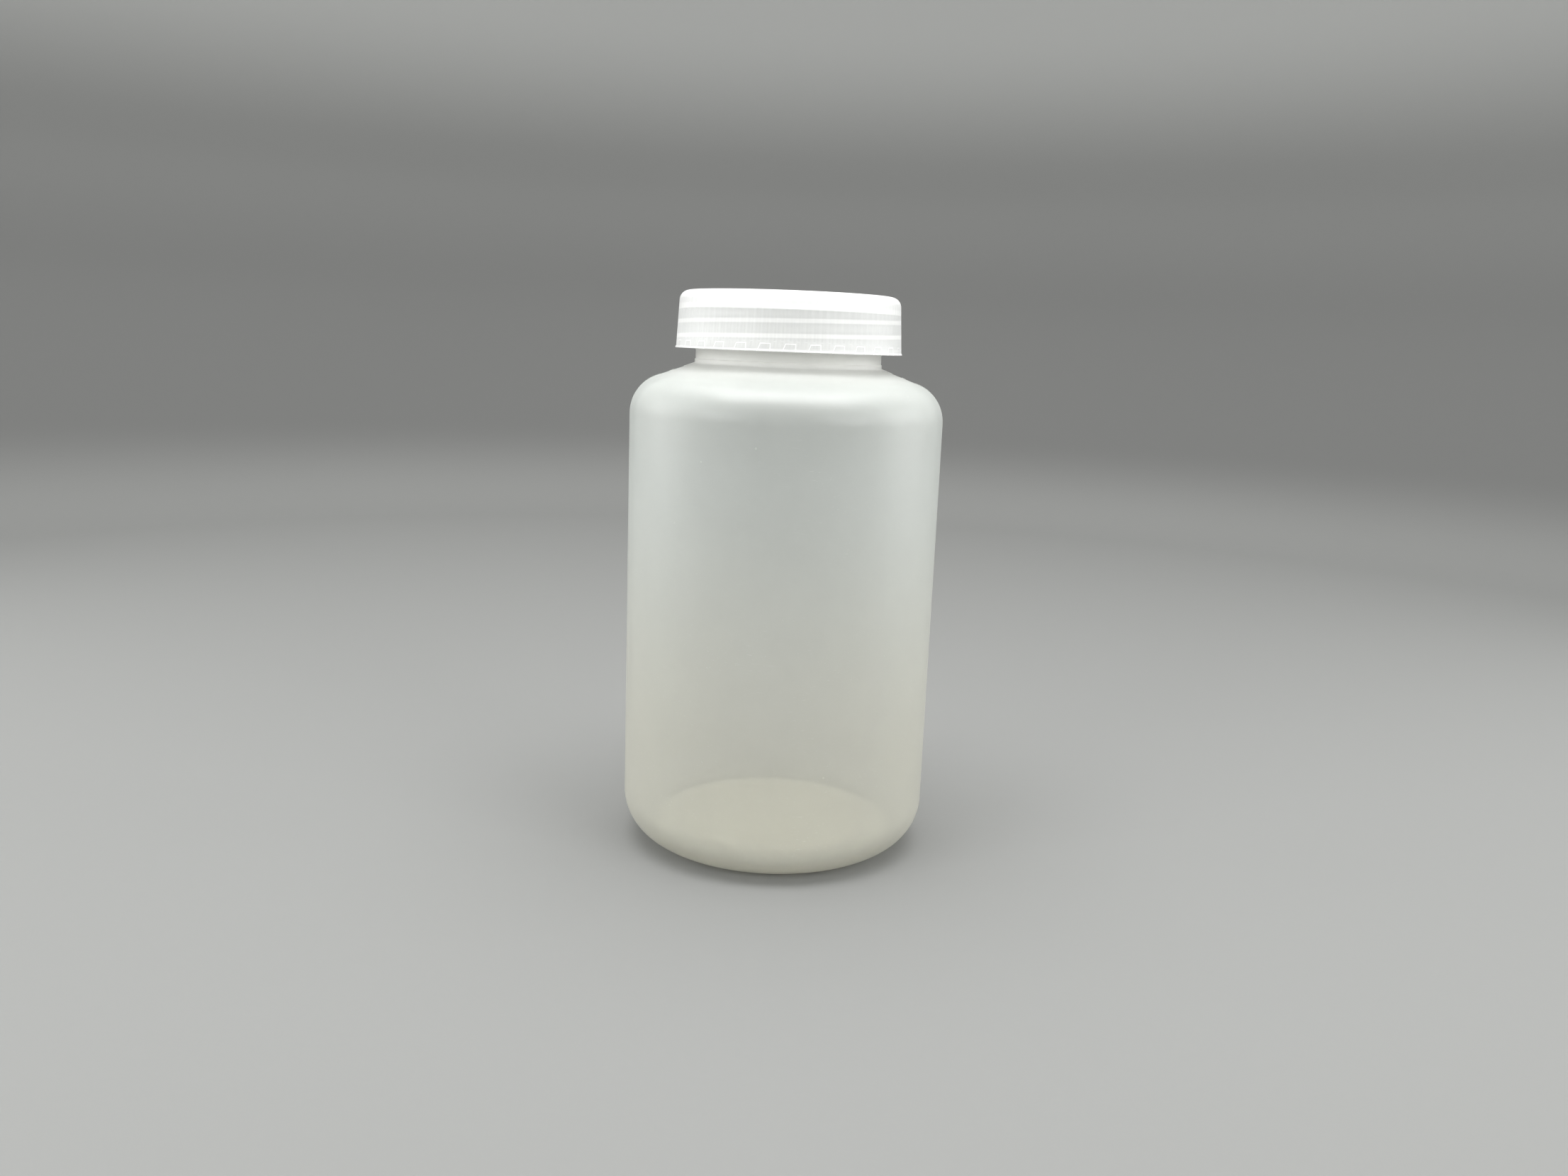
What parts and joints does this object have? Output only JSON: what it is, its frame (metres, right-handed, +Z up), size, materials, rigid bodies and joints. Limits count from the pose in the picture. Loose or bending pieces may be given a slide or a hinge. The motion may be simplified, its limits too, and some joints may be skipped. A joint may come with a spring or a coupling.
{
  "type": "reagent bottle",
  "caption": "Wide-mouth translucent plastic reagent bottle with a round shoulder, a ribbed white screw cap and a flat seal disc.",
  "frame": {"origin": "centre of the base, on the surface that the bottle stands on", "axes": "+Z up along the bottle's axis, towards the cap; +X and -X through the mould's parting line"},
  "size_m": [0.0802, 0.08, 0.1428],
  "materials": {
    "bottle_plastic": "milky translucent natural polypropylene, satin moulded surface",
    "cap_plastic": "white, slightly translucent, satin moulded surface",
    "seal_foam": "white closed-cell polyethylene foam, matte"
  },
  "bodies": {
    "bottle": {"bottle": "bottle_plastic"},
    "seal": {"seal_disc": "seal_foam"},
    "cap": {"screw_cap": "cap_plastic"}
  },
  "joints": [
    {"name": "cap_lift", "type": "slide", "parent": "bottle", "child": "seal", "axis": [0, 0, 1], "range_m": [0, 0.0175]},
    {"name": "cap_turn", "type": "hinge", "parent": "seal", "child": "cap", "pos_m": [0, 0, 0.1286], "axis": [0, 0, 1], "range_deg": [0, 1800]}
  ],
  "couplings": [
    {"joint": "cap_lift", "follows": "cap_turn", "m_per_rad": 0.00055704}
  ]
}
